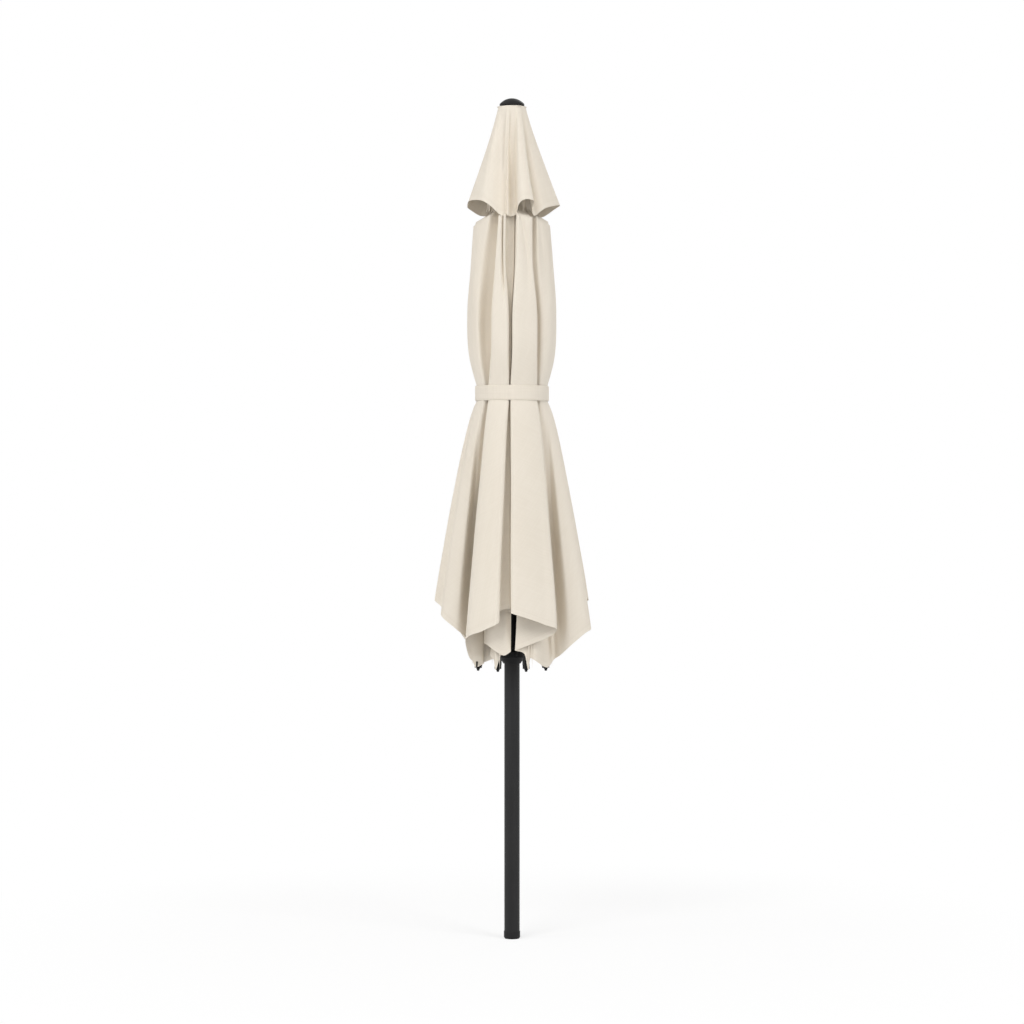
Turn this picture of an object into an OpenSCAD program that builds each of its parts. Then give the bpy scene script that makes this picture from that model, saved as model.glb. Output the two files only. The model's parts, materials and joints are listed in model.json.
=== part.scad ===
// Market umbrella, closed and strapped, standing on the foot of its pole.
// Origin: centre of the pole's foot. +Z up, front of the canopy towards -Y.
// All lengths in millimetres, all angles in degrees.

/* [Pole] */
// Outer diameter of the pole
pole_d = 38; // [36:0.5:40]
// Wall of the pole tubes
pole_wall = 1.2; // [1:0.1:2]
// Height of the joint between the lower and the upper pole
pole_joint_z = 1010; // [940:5:1060]
// Length of the tube inside the pole joint
sleeve_len = 180; // [120:5:240]
// Wall of the tube inside the pole joint
sleeve_wall = 1.5; // [1:0.1:2]
// Height of the plastic cap on the foot of the pole
foot_h = 18; // [12:1:25]
// Wall of the foot cap around the pole
foot_wall = 1.1; // [0.8:0.1:2]
// Floor of the foot cap under the pole
foot_floor = 4; // [3:0.5:6]
// Length of the foot cap's plug inside the pole
foot_plug = 35; // [20:1:60]

/* [Frame] */
// Height of the rib hinges in the crown
crown_z = 2030; // [2000:5:2060]
// Distance of the rib and strut hinges from the pole's axis
hinge_r = 28; // [27.5:0.1:29]
// Length of a rib from its hinge to its tip
rib_len = 1365; // [1340:5:1380]
// Lean of a closed rib away from the pole
rib_tilt = 2.6; // [2.5:0.05:2.8]
// Width of a rib tube
rib_w = 10; // [9:0.5:10.5]
// Depth of a rib tube, towards the pole
rib_d = 12; // [11:0.5:13]
// Wall of the rib and strut tubes
tube_wall = 0.8; // [0.6:0.1:1.2]
// Distance of the strut pivot down the rib
strut_at = 665; // [655:1:670]
// Distance of the strut pivot inside the rib's centre line
strut_off = 12; // [11.8:0.1:13]
// Width of a strut tube
strut_w = 9; // [8:0.5:9.2]
// Depth of a strut tube
strut_d = 9.6; // [9:0.2:10]
// Thickness of the blades and side plates of the rib and strut ends
plate_t = 1.5; // [1:0.1:1.8]
// Half length of the side plates at the strut pivot
plate_half = 15; // [12:1:20]
// Length of the flat blade at the hinge end of a rib or strut
blade_len = 32; // [28:1:36]
// Width of a hinge blade
blade_w = 7; // [6:0.5:7.5]
// Radius of the eye at the end of a blade
eye_r = 4.6; // [4:0.1:4.8]
// Radius of every hinge pin
pin_r = 1.5; // [1.3:0.1:1.7]
// Length of the plastic cap on a rib tip
tip_len = 24; // [18:1:28]
// Wall of a rib tip cap
tip_wall = 1.1; // [0.8:0.1:1.4]
// Diameter of the knob at the end of a rib tip cap
tip_knob_d = 9; // [7:0.5:10]

/* [Hubs] */
// Radius of the crown hub
crown_r = 32; // [31.5:0.1:32.5]
// Height of the crown hub above the rib hinges
crown_above = 20; // [17:1:24]
// Height of the crown hub below the rib hinges
crown_below = 18; // [14:1:22]
// Thickness of the crown hub over the end of the pole
crown_cap = 12; // [9:0.5:14]
// Radius of the runner where the struts are hinged
runner_r = 32; // [31.5:0.1:33]
// Height of the runner's sleeve above the strut hinges
runner_above = 24; // [18:1:30]
// Height of the runner's collar above the strut hinges
runner_rim = 9; // [7:0.5:11]
// Depth of the runner below the strut hinges
runner_below = 22; // [18:1:26]
// Wall of the runner's sleeve
runner_wall = 3.2; // [2.5:0.1:3.4]
// Reach of a pin into the hub on each side of its slot
pin_grip = 4; // [3:0.5:5]
// Radius of the finial
finial_r = 30.5; // [28:0.5:31.5]
// Height of the finial
finial_h = 20; // [16:0.5:24]
// Height of the straight rim of the finial
finial_rim = 6; // [4:0.5:8]
// Radius of the stud that holds the finial
stud_r = 4; // [3:0.5:5]
// Length of the stud inside the finial
stud_in = 11; // [8:0.5:13]

/* [Hold-open catch] */
// Reach of the catch out of the pole
catch_out = 4; // [3:0.5:5]
// Height of the catch
catch_h = 20; // [16:1:26]
// Width of the catch
catch_w = 7; // [6:0.5:9]
// Gap between the catch and the opened runner
catch_gap = 0.5; // [0.3:0.1:1]
// Thickness of the catch's leaf spring
leaf_t = 0.8; // [0.6:0.1:1]

/* [Canopy] */
// Wall of the gathered cloth
cloth_t = 4; // [3:0.5:4.5]
// Drop from the rib hinges to the top edge of the main canopy
canopy_top_drop = 258; // [252:1:266]
// Radius of the folds at the top edge
top_r = 95; // [90:1:97]
// Drop from the rib hinges to the shoulder of the folds
shoulder_drop = 375; // [350:5:400]
// Radius of the folds at the shoulder
shoulder_r = 103; // [98:1:107]
// Radius of the folds at the belly above the strap
belly_r = 111; // [106:1:116]
// Drop from the rib hinges to the belly
belly_drop = 480; // [450:5:510]
// Drop from the rib hinges to the middle of the strap
strap_drop = 686; // [675:1:695]
// Height of the strap band
strap_h = 37; // [30:1:42]
// Thickness of the strap band
strap_t = 2; // [1.5:0.1:3]
// Radius of the folds under the strap
waist_r = 89.5; // [88:0.5:92]
// Radius of the folds at the outer hem
hem_r = 196; // [186:1:204]
// Rise of the hem at the outside of the folds above the ends of the ribs
hem_rise = 111.6; // [103:0.1:124]
// Rise of the hem beside the ribs above their ends
inner_hem_rise = 9.6; // [6:0.1:18]
// Width of the seam tapes along the ribs
tape_w = 10; // [8:0.5:12]
// Thickness of the seam tapes
tape_t = 1; // [0.8:0.1:1.2]

/* [Vent cap] */
// Radius of the vent cap at its collar under the finial
collar_r = 34.4; // [34:0.1:36]
// Radius of the vent cap at its hem
vent_r = 112; // [108:1:118]
// Drop from the rib hinges to the vent cap's hem
vent_drop = 236; // [226:1:244]
// Thickness of the vent cap's cloth
vent_t = 2; // [1.5:0.1:2.2]

/* [Hidden] */
RIBS = 8;
SECTOR = 360 / RIBS;
HALF = SECTOR / 2;
FRONT = -90;
// clearances: sliding runner, hinge eyes, pressed pieces, cloth, moving widths
slide_gap = 0.3;
eye_gap = 0.05;
press_gap = 0.02;
cloth_gap = 0.3;
side_gap = 0.5;
pole_r = pole_d / 2;
pole_in = pole_r - pole_wall;
pole_top_z = crown_z + crown_above - crown_cap;
// the strut is as long as its pivot is far from the rib hinge, so the runner keeps to the pole
strut_len = norm([strut_at, strut_off]);
pivot_tilt = rib_tilt - atan(strut_off / strut_at);
pivot_r = hinge_r + strut_len * sin(pivot_tilt);
pivot_z = crown_z - strut_len * cos(pivot_tilt);
runner_z = pivot_z - strut_len * cos(pivot_tilt);
fold_max = 63;
open_runner_z = crown_z - 2 * strut_len * cos(pivot_tilt + fold_max);
catch_top_z = open_runner_z - runner_below - catch_gap;
catch_az = 90;
slot_w = blade_w + 2 * side_gap;
slot_r = hinge_r - eye_r - side_gap;
runner_bore = pole_r + slide_gap;
vent_top_z = crown_z + crown_above + cloth_gap;
finial_z = vent_top_z + vent_t + cloth_gap;
rib_start = blade_len - 4;
tape_in = rib_d / 2 + cloth_gap;
petal_in = tape_in + tape_t + cloth_gap;
rib_end_z = crown_z - rib_len * cos(rib_tilt);
canopy_top_z = crown_z - canopy_top_drop;
belly_z = crown_z - belly_drop;
strap_z = crown_z - strap_drop;
hem_z = rib_end_z + hem_rise;
inner_hem_z = rib_end_z + inner_hem_rise;
vent_z = crown_z - vent_drop;
waist_top_z = strap_z + strap_h / 2 + 8;
waist_low_z = strap_z - strap_h / 2 - 8;
shoulder_z = crown_z - shoulder_drop;
$fn = 64;

CHARCOAL = [0.17, 0.17, 0.175];
BLACK = [0.12, 0.12, 0.12];
STEEL = [0.62, 0.62, 0.63];
SAND = [0.89, 0.85, 0.79];
HEM = [0.84, 0.80, 0.73];

// rib k stands at this angle about the pole; the first is front right
function rib_az(k) = FRONT + HALF + SECTOR * (k - 1);
function rib_line_r(z) = hinge_r + (crown_z - z) * tan(rib_tilt);

module at_rib(k) { rotate([0, 0, rib_az(k)]) children(); }
// frame of a closed rib: hinge at the origin, the rib runs down -Z, +X faces out
module on_rib(k) { at_rib(k) translate([hinge_r, 0, crown_z]) rotate([0, -rib_tilt, 0]) children(); }
// frame of a closed strut: rib pivot at the origin, the strut runs down -Z
module on_strut(k) { at_rib(k) translate([pivot_r, 0, pivot_z]) rotate([0, pivot_tilt, 0]) children(); }
module along_y(r, len) { rotate([90, 0, 0]) cylinder(r = r, h = len, center = true); }

module tube(r_out, wall, z0, z1) {
    translate([0, 0, z0]) difference() {
        cylinder(r = r_out, h = z1 - z0);
        translate([0, 0, -1]) cylinder(r = r_out - wall, h = z1 - z0 + 2);
    }
}

module box_tube(d, w, wall, z0, z1) {
    translate([0, 0, z0]) difference() {
        translate([-d / 2, -w / 2, 0]) cube([d, w, z1 - z0]);
        translate([wall - d / 2, wall - w / 2, -1]) cube([d - 2 * wall, w - 2 * wall, z1 - z0 + 2]);
    }
}

module foot_cap() {
    color(BLACK) difference() {
        union() {
            rotate_extrude() polygon([
                [0, 0], [pole_r - 3, 0], [pole_r - 1, 0.8], [pole_r + foot_wall - 0.4, 2.6],
                [pole_r + foot_wall, 4], [pole_r + foot_wall, foot_h], [0, foot_h]
            ]);
            cylinder(r = pole_in - press_gap, h = foot_floor + foot_plug);
        }
        difference() {
            translate([0, 0, foot_floor]) cylinder(r = pole_r + press_gap, h = foot_plug + 1);
            translate([0, 0, foot_floor - 1]) cylinder(r = pole_in - press_gap, h = foot_plug + 3);
        }
        translate([0, 0, foot_floor]) cylinder(r = pole_in - 2.5, h = foot_plug + 1);
    }
}

module lower_pole() { color(CHARCOAL) tube(pole_r, pole_wall, foot_floor, pole_joint_z); }

module pole_joint_sleeve() {
    color(STEEL) tube(pole_in - press_gap, sleeve_wall, pole_joint_z - sleeve_len / 2, pole_joint_z + sleeve_len / 2);
}

module upper_pole() {
    color(CHARCOAL) difference() {
        tube(pole_r, pole_wall, pole_joint_z, pole_top_z);
        rotate([0, 0, catch_az]) translate([pole_in - 3, -catch_w / 2 - side_gap, catch_top_z - catch_h - side_gap])
            cube([8, catch_w + 2 * side_gap, catch_h + 2 * side_gap]);
    }
}

// wedge that the rising runner presses in, and that springs out under it
module catch_button() {
    color(BLACK) rotate([0, 0, catch_az]) translate([0, catch_w / 2, catch_top_z - catch_h]) rotate([90, 0, 0])
        linear_extrude(height = catch_w) polygon([
            [pole_in - 5, 0], [pole_r, 0], [pole_r + catch_out, catch_h - 5],
            [pole_r + catch_out, catch_h], [pole_in - 5, catch_h]
        ]);
}

// bent leaf behind the catch, its lower end resting on the far wall of the pole
module catch_spring() {
    top = catch_top_z - 3;
    far = -(pole_in - 0.8);
    near = pole_in - 5 - cloth_gap;
    color(STEEL) rotate([0, 0, catch_az]) translate([0, catch_w / 2 - 1, 0]) rotate([90, 0, 0])
        linear_extrude(height = catch_w - 2) polygon([
            [near, top], [near, top - 18], [far + leaf_t, top - 73], [far, top - 73], [far, top - 16],
            [far + leaf_t, top - 16], [far + leaf_t, top - 70], [near - leaf_t, top - 17], [near - leaf_t, top]
        ]);
}

// slots and pin holes shared by both hubs; low and high bound the slots about the hinge height
module hub_cuts(z, low, high) {
    for (k = [1:RIBS]) at_rib(k) {
        translate([slot_r, -slot_w / 2, z + low]) cube([20, slot_w, high - low]);
        translate([hinge_r, 0, z]) along_y(pin_r + press_gap, slot_w + 2 * pin_grip);
    }
}

module hub_pins(z) {
    for (k = [1:RIBS]) at_rib(k) translate([hinge_r, 0, z]) along_y(pin_r, slot_w + 2 * pin_grip - 2 * press_gap);
}

module crown_hub() {
    top = crown_z + crown_above;
    color(BLACK) difference() {
        rotate_extrude() polygon([
            [0, crown_z - crown_below], [crown_r - 1, crown_z - crown_below], [crown_r, crown_z - crown_below + 1],
            [crown_r, top - 6], [crown_r - 2, top - 1.6], [crown_r - 4, top], [0, top]
        ]);
        translate([0, 0, crown_z - crown_below - 1])
            cylinder(r = pole_r + press_gap, h = pole_top_z - crown_z + crown_below + 1);
        translate([0, 0, pole_top_z - 1]) cylinder(r = stud_r + press_gap, h = crown_cap + 2);
        hub_cuts(crown_z, -crown_below - 1, eye_r + side_gap);
    }
}

module crown_pins() { color(STEEL) hub_pins(crown_z); }

module runner_hub() {
    low = runner_z - runner_below;
    rim = runner_z + runner_rim;
    color(BLACK) difference() {
        rotate_extrude() polygon([
            [runner_bore + 0.4, low], [pole_r + runner_wall - 1, low], [pole_r + runner_wall, low + 1.2],
            [runner_r - 4, runner_z - 11], [runner_r - 0.8, runner_z - 7], [runner_r, runner_z - 4],
            [runner_r, rim - 1.5], [runner_r - 1.5, rim],
            [pole_r + runner_wall + 1, rim], [pole_r + runner_wall, rim + 1],
            [pole_r + runner_wall, runner_z + runner_above - 1],
            [pole_r + runner_wall - 1, runner_z + runner_above], [runner_bore + 0.4, runner_z + runner_above],
            [runner_bore, runner_z + runner_above - 0.8], [runner_bore, low + 0.8]
        ]);
        hub_cuts(runner_z, -eye_r - side_gap, runner_above + 1);
    }
}

module runner_pins() { color(STEEL) hub_pins(runner_z); }

module finial_stud() {
    color(STEEL) translate([0, 0, pole_top_z]) cylinder(r = stud_r, h = finial_z + stud_in - pole_top_z);
}

module finial() {
    rise = finial_h - finial_rim;
    // the dome is an arc through the rim and the top
    arc_r = (finial_r * finial_r + rise * rise) / (2 * rise);
    arc_a = asin(finial_r / arc_r);
    color(BLACK) difference() {
        translate([0, 0, finial_z]) rotate_extrude() polygon(concat(
            [[0, 0], [finial_r - 1.5, 0], [finial_r, 1.5], [finial_r, finial_rim]],
            [for (i = [1:10]) [arc_r * sin(arc_a * (1 - i / 10)), finial_h - arc_r + arc_r * cos(arc_a * (1 - i / 10))]]
        ));
        translate([0, 0, finial_z - 1]) cylinder(r = stud_r + press_gap, h = stud_in + 1);
    }
}

// flat steel blade with an eye that turns on a hub pin; it runs down from the eye into its tube
module blade() {
    difference() {
        union() {
            along_y(eye_r, blade_w);
            translate([-eye_r, -blade_w / 2, -blade_len]) cube([2 * eye_r, blade_w, blade_len]);
        }
        along_y(pin_r + eye_gap, blade_w + 2);
    }
}

module rib(k) {
    plate_y = rib_w / 2 + press_gap;
    on_rib(k) {
        color(CHARCOAL) difference() {
            box_tube(rib_d, rib_w, tube_wall, -rib_len + 4, -rib_start);
            translate([0, 0, -strut_at]) along_y(2 + press_gap, rib_w + 2);
        }
        color(STEEL) blade();
        for (side = [-1, 1]) color(CHARCOAL) difference() {
            translate([-strut_off - eye_r - 0.6, side > 0 ? plate_y : -plate_y - plate_t, -strut_at - plate_half])
                cube([strut_off + eye_r + 4, plate_t, 2 * plate_half]);
            translate([0, 0, -strut_at]) along_y(2 + press_gap, 40);
            translate([-strut_off, 0, -strut_at]) along_y(pin_r + press_gap, 40);
        }
        color(STEEL) translate([0, 0, -strut_at]) along_y(2, rib_w + 2 * plate_t + 1.6);
        color(STEEL) translate([-strut_off, 0, -strut_at]) along_y(pin_r, rib_w + 2 * plate_t + 1.6);
    }
}

module rib_tip(k) {
    wide = rib_w + 2 * tip_wall;
    deep = rib_d + 2 * tip_wall;
    on_rib(k) color(BLACK) difference() {
        union() {
            translate([-deep / 2, -wide / 2, -rib_len + 4 - tip_wall]) cube([deep, wide, tip_len - 4]);
            translate([0, 0, -rib_len]) cylinder(d = tip_knob_d, h = 4);
            translate([0, 0, -rib_len]) intersection() {
                sphere(d = tip_knob_d);
                translate([0, 0, -2.5]) cube(5, center = true);
            }
        }
        translate([-rib_d / 2 - press_gap, -rib_w / 2 - press_gap, -rib_len + 4])
            cube([rib_d + 2 * press_gap, rib_w + 2 * press_gap, tip_len]);
    }
}

module strut(k) {
    inner = strut_len - rib_start;
    on_strut(k) color(CHARCOAL) {
        difference() {
            union() {
                along_y(strut_d / 2, strut_w);
                difference() {
                    translate([-strut_d / 2, -strut_w / 2, -inner]) cube([strut_d, strut_w, inner]);
                    translate([tube_wall - strut_d / 2, tube_wall - strut_w / 2, -inner - 1])
                        cube([strut_d - 2 * tube_wall, strut_w - 2 * tube_wall, inner - 9]);
                }
            }
            along_y(pin_r + eye_gap, strut_w + 2);
        }
        translate([0, 0, -strut_len]) mirror([0, 0, 1]) blade();
    }
}

// Outlines of the folds, as lines from side to side. Each line has its angle from the rib and its share of the radius
// of the folds at the top edge, the shoulder, the belly, the waist and the hem, then its rise above the outer hem.
RIGHT_FRONT = [
    [-HALF, 0.83, -HALF, 0.85, -HALF, 0.87, -HALF, 0.97, -HALF, 0.75, 28],
    [-18.7, 0.89, -18.3, 0.87, -19, 0.97, -18.5, 0.99, -20, 0.77, 26],
    [-13, 0.99, -13, 0.97, -14, 1, -12.5, 0.99, -12, 0.77, 20],
    [-3, 1, -3, 0.98, -4, 1, -1, 0.99, 0, 0.77, 10],
    [7.5, 1, 7, 0.97, 8.5, 0.98, 10, 0.99, 12, 0.79, -1],
    [11.7, 0.9, 11.5, 0.88, 12.7, 0.9, 15.2, 0.97, 17.5, 0.81, -7],
    [15.2, 0.77, 15.2, 0.78, 16, 0.78, 18.8, 0.92, 20, 0.8, -10],
    [HALF, 0.92, HALF, 0.9, HALF, 0.88, HALF, 0.95, HALF, 0.79, -13]
];
RIGHT_OUTER = [
    [-HALF, 0.92, -HALF, 0.9, -HALF, 0.88, -HALF, 0.95, -HALF, 0.6, -78],
    [-17.5, 0.95, -17.5, 0.93, -16.5, 0.92, -17.5, 0.98, -11.5, 0.6, -78],
    [-11.5, 0.98, -10.5, 0.97, -9.5, 0.96, -10.5, 0.99, -3.5, 0.63, -74],
    [-3.5, 0.99, -3.5, 0.98, -2.5, 0.98, -2.5, 0.99, 0.5, 0.72, -60],
    [3.5, 1, 4.5, 0.99, 5.5, 0.99, 5.5, 0.99, 8.5, 0.84, -40],
    [11.5, 1, 12.5, 1, 12.5, 1, 12.5, 0.99, 15.5, 0.94, -23],
    [17.5, 0.98, 17.5, 0.98, 18, 0.99, 18.3, 0.98, 19.8, 1, -12],
    [HALF, 0.93, HALF, 0.94, HALF, 0.94, HALF, 0.96, HALF, 0.97, -6]
];
LEFT_OUTER = [
    [-HALF, 0.93, -HALF, 0.94, -HALF, 0.94, -HALF, 0.96, -HALF, 0.97, 54],
    [-17.5, 0.99, -17.5, 0.99, -18, 0.99, -18.3, 0.98, -19.8, 0.98, 52],
    [-11.5, 1, -11.5, 1, -11.5, 0.99, -12.5, 0.98, -17, 0.91, 34],
    [-4.5, 1, -4.5, 1, -5, 0.99, -6.5, 0.98, -12, 0.87, 12],
    [3.5, 0.99, 2.5, 0.99, 1.5, 1, 1.5, 0.99, -4.5, 0.8, -5],
    [11.5, 0.98, 10.5, 0.97, 8.5, 0.99, 9.5, 0.99, 1, 0.71, -20],
    [17.5, 0.95, 17.5, 0.94, 15.5, 0.98, 16.5, 0.98, 7, 0.6, -73],
    [HALF, 0.9, HALF, 0.9, HALF, 0.94, HALF, 0.97, HALF, 0.76, -43]
];
LEFT_FRONT = [
    [-HALF, 0.9, -HALF, 0.9, -HALF, 0.94, -HALF, 0.97, -HALF, 0.79, -40],
    [-14.5, 0.74, -14.5, 0.76, -12, 0.75, -18.6, 0.92, -19.5, 0.8, -32],
    [0.5, 0.93, -2.5, 0.92, -7.5, 0.94, -14.5, 0.98, -13.5, 0.8, -25],
    [5, 1, 3.5, 0.97, 0.5, 0.98, -5.5, 0.99, -5.5, 0.79, -15],
    [8.5, 0.98, 10, 0.96, 11.5, 0.98, 10.5, 0.99, 6.5, 0.79, 1],
    [13.5, 0.86, 14.5, 0.88, 16.3, 0.91, 15, 0.96, 9.5, 0.66, 14],
    [18.5, 0.83, 18.9, 0.85, 19.2, 0.87, 18.8, 0.93, 13.5, 0.6, 26],
    [HALF, 0.83, HALF, 0.85, HALF, 0.87, HALF, 0.94, HALF, 0.59, 34]
];
// the folds about ribs 1 and 5, 2 and 6, 3 and 7, 4 and 8, and the rises of their side walls above the inner hem
FOLDS = [RIGHT_FRONT, RIGHT_OUTER, LEFT_OUTER, LEFT_FRONT];
SIDE_RISES = [[35, 72], [10, 0], [0, 32], [50, 35]];
// outline between the belly and the waist: its drop below the belly, and its share of the belly's outline
SWELL_DROP = 90;
SWELL_KEEP = 0.8;
// steps down the flare under the strap: share of the height, share of the way out to the hem
FLARE = [[0.1, 0.18], [0.4, 0.49], [0.75, 0.81], [1, 1]];

// a point of the outline, kept clear of the next fold by the cloth's gap
function fold_point(a, r) =
    [r * cos(a) + cloth_gap * sin(HALF) * abs(a) / HALF, r * sin(a) - cloth_gap * cos(HALF) * a / HALF];
// a line's place at station s: top edge, shoulder, belly, waist or hem
function station(line, s) =
    fold_point(line[2 * s], line[2 * s + 1] * [top_r, shoulder_r, belly_r, waist_r, hem_r][s]);
// corner of the inner wall, behind which the rib and its tape lie
function back_point(z, side) =
    let (x = rib_line_r(z) + petal_in) [x, side * (x * tan(HALF) - cloth_gap / cos(HALF))];
// a closed ring of heights and a plan outline, as points in space
function ring(z, plan) = [z, concat([back_point(z[0], -1)], plan, [back_point(z[len(z) - 1], 1)])];
function level_ring(z, plan) = ring([for (i = [0:len(plan) + 1]) z], plan);
// the rings of a fold from its top edge to its hem
function fold_rings(lines, rises) =
    let (hem = concat(
        [inner_hem_z + rises[0]], [for (l = lines) hem_z + l[10]], [inner_hem_z + rises[1]]
    ))
    concat(
        [level_ring(canopy_top_z, [for (l = lines) station(l, 0)])],
        [level_ring(shoulder_z, [for (l = lines) station(l, 1)])],
        [level_ring(belly_z, [for (l = lines) station(l, 2)])],
        [level_ring(belly_z - SWELL_DROP, [
            for (l = lines) station(l, 2) * SWELL_KEEP + station(l, 3) * (1 - SWELL_KEEP)
        ])],
        [for (z = [waist_top_z, waist_low_z]) level_ring(z, [for (l = lines) station(l, 3)])],
        [for (f = FLARE) ring(
            [for (h = hem) waist_low_z + (h - waist_low_z) * f[0]],
            [for (l = lines) station(l, 3) * (1 - f[1]) + station(l, 4) * f[1]]
        )]
    );
function unit(v) = v / norm(v);
function left_of(v) = [-v[1], v[0]];
// an outline moved inwards by the cloth's wall
function inside(p) = [
    for (i = [0:len(p) - 1])
        let (u = unit(p[i] - p[(i + len(p) - 1) % len(p)]), v = unit(p[(i + 1) % len(p)] - p[i]))
        p[i] + (left_of(u) + left_of(v)) * cloth_t / (1 + u * v)
];
function in_space(ring, plan, drop) =
    [for (i = [0:len(plan) - 1]) [plan[i][0], plan[i][1], ring[0][i] - drop]];

// gathered cloth of the canopy about one rib: a hollow fold, open at its hem
module canopy_fold(k) {
    rings = fold_rings(FOLDS[(k - 1) % 4], SIDE_RISES[(k - 1) % 4]);
    side = len(rings[0][1]);
    n = len(rings);
    outer = [for (r = rings) for (p = in_space(r, r[1], 0)) p];
    hollow = [for (i = [0:n - 1]) for (p = in_space(rings[i], inside(rings[i][1]), i == 0 ? cloth_t : 0)) p];
    shift = n * side;
    color(k % 2 == 0 ? SAND : SAND * 0.97) at_rib(k) polyhedron(points = concat(outer, hollow), faces = concat(
        [[for (j = [0:side - 1]) side - 1 - j]],
        [[for (j = [0:side - 1]) shift + j]],
        [for (i = [0:n - 2]) for (j = [0:side - 1]) for (half = [0, 1])
            let (a = i * side + j, b = i * side + (j + 1) % side)
            half == 0 ? [a, b, b + side] : [a, b + side, a + side]],
        [for (i = [0:n - 2]) for (j = [0:side - 1]) for (half = [0, 1])
            let (a = shift + i * side + j, b = shift + i * side + (j + 1) % side)
            half == 0 ? [a, b + side, b] : [a, a + side, b + side]],
        [for (j = [0:side - 1]) for (half = [0, 1])
            let (a = (n - 1) * side + j, b = (n - 1) * side + (j + 1) % side)
            half == 0 ? [a, b, b + shift] : [a, b + shift, a + shift]]
    ));
}

// tape sewn down the far seam of a canopy panel; it lies on the rib while the canopy is gathered
module seam_tape(k) {
    top = (crown_z - canopy_top_z) / cos(rib_tilt) + cloth_t + 4;
    low = rib_len - tip_len - 2;
    on_rib(k) color(HEM) translate([tape_in, -tape_w / 2, -low]) cube([tape_t, tape_w, low - top]);
}

module vent_cap() {
    steps = 6;
    low = vent_z;
    drop = vent_top_z - 2 - low;
    color(SAND) rotate_extrude() polygon(concat(
        [[stud_r + 0.3, vent_top_z + vent_t], [collar_r - 1.2, vent_top_z + vent_t], [collar_r, vent_top_z + 0.6]],
        [for (i = [0:steps]) [collar_r + (vent_r - collar_r) * pow(i / steps, 1.12), vent_top_z - 2 - drop * i / steps]],
        [for (i = [steps:-1:0])
            [collar_r + (vent_r - collar_r) * pow(i / steps, 1.12) - vent_t, vent_top_z - 2 - drop * i / steps]],
        [[collar_r - vent_t, vent_top_z], [stud_r + 0.3, vent_top_z]]
    ));
}

module strap() {
    inner = waist_r + cloth_gap;
    color(HEM) tube(inner + strap_t, strap_t, strap_z - strap_h / 2, strap_z + strap_h / 2);
}

foot_cap();
lower_pole();
pole_joint_sleeve();
upper_pole();
crown_hub();
crown_pins();
finial();
finial_stud();
runner_hub();
runner_pins();
catch_button();
catch_spring();
for (k = [1:RIBS]) {
    rib(k);
    rib_tip(k);
    strut(k);
    canopy_fold(k);
    seam_tape(k);
}
vent_cap();
strap();
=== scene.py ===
# A market umbrella, closed and strapped. The file follows it as it is put together: the view and the light
# first, then the pole and its hubs, the ribs and struts, the gathered canopy, the panels that spread when it
# opens, the vent cap and the strap.
import math

import bpy
import numpy as np
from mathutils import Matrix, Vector, noise
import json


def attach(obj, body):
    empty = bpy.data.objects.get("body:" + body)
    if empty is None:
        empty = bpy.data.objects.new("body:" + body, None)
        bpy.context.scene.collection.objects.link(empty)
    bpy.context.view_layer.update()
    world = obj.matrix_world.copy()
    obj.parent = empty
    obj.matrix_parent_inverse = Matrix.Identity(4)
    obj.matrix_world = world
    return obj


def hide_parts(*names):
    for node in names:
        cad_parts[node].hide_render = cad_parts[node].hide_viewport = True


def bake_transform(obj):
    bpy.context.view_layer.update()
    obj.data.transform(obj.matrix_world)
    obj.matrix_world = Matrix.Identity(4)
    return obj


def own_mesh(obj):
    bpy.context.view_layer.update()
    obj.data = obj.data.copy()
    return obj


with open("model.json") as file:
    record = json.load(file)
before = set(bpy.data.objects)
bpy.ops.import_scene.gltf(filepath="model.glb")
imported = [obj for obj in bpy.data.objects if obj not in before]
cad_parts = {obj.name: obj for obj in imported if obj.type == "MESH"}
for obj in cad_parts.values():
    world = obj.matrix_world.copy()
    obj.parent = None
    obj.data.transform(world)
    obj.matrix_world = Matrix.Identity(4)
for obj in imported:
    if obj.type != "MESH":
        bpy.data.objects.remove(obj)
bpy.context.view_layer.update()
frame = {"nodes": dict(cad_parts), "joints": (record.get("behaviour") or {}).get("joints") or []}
scene = bpy.context.scene
scene.view_settings.view_transform = "Standard"


# ---- Camera ----
# A level view from the front, a little above the middle of the umbrella, from nearly seven metres away.
# Places are in metres and the lens is in millimetres.
EYE, LENS, SEES_TO = (0, -6.852, 1.0519), 97.6, 200
LEVEL = math.radians(90)

camera = bpy.data.objects.new("camera", bpy.data.cameras.new("camera"))
camera.location = EYE
camera.rotation_euler = (LEVEL, 0, 0)
camera.data.lens = LENS
camera.data.clip_end = SEES_TO
scene.collection.objects.link(camera)
scene.camera = camera


# ---- Studio: floor, surrounding light and soft boxes ----
# A plain pale floor that runs out to white, and even light from all round. Two broad soft boxes stand high in
# front, the stronger one at the left, with two small ones low between them. One more stands at the left and
# one behind.
FLOOR_HALF, FLOOR_Z, FLOOR_GREY = 30.0, -0.0005, (0.9, 0.9, 0.9, 1)
# from the pole: where the floor starts to whiten, where it is white, and its share of white at the pole
WHITE_FROM, WHITE_AT, WHITE_LEAST = 0.5, 1.6, 0.7
WHITE = (1, 1, 1, 1)
ROUND_LIGHT, ROUND_COLOUR = 0.44, (1.0, 0.995, 0.985, 1)
LIT_POINT = Vector((0, 0, 1.2))
# name, place, size in metres, watts
SOFT_BOXES = [
    ("key_box", (-7.6, -15, 15.5), 9, 1400),
    ("fill_box", (11, -12.5, 11.5), 9, 980),
    ("low_key_box", (-2.9, -3.4, 0.8), 2, 11),
    ("low_fill_box", (3.2, -3.2, 0.8), 2, 10),
    ("side_box", (-16, -5, 7), 8, 420),
    ("back_box", (6, 17, 10), 9, 1000),
]
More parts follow.
